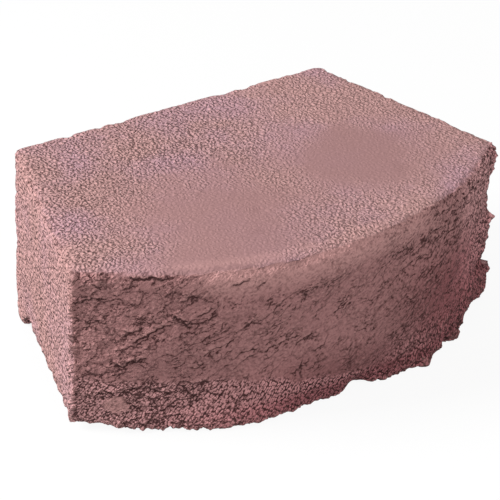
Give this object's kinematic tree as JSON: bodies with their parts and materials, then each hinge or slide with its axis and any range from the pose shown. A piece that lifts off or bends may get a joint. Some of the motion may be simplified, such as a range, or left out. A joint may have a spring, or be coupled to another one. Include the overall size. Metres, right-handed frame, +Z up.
{
  "type": "garden wall block",
  "caption": "Solid concrete garden wall block with a bowed split face, tapered sides and a rear lip that hooks over the course below to build a low retaining wall.",
  "frame": {"origin": "bottom centre of the block's box, on the floor it stands on", "axes": "+X across the block, to the right seen from the broken face; +Y from the broken face to the back; +Z up. The block leans 4.9 degrees forward about X, because it stands on its rear lip and the foot of the broken face."},
  "size_m": [0.2918, 0.1991, 0.1175],
  "materials": {
    "rosy_concrete": "matt, granular dry-cast concrete coloured through, with a rough split face"
  },
  "bodies": {
    "root": {"wall_block": "rosy_concrete"}
  },
  "joints": []
}
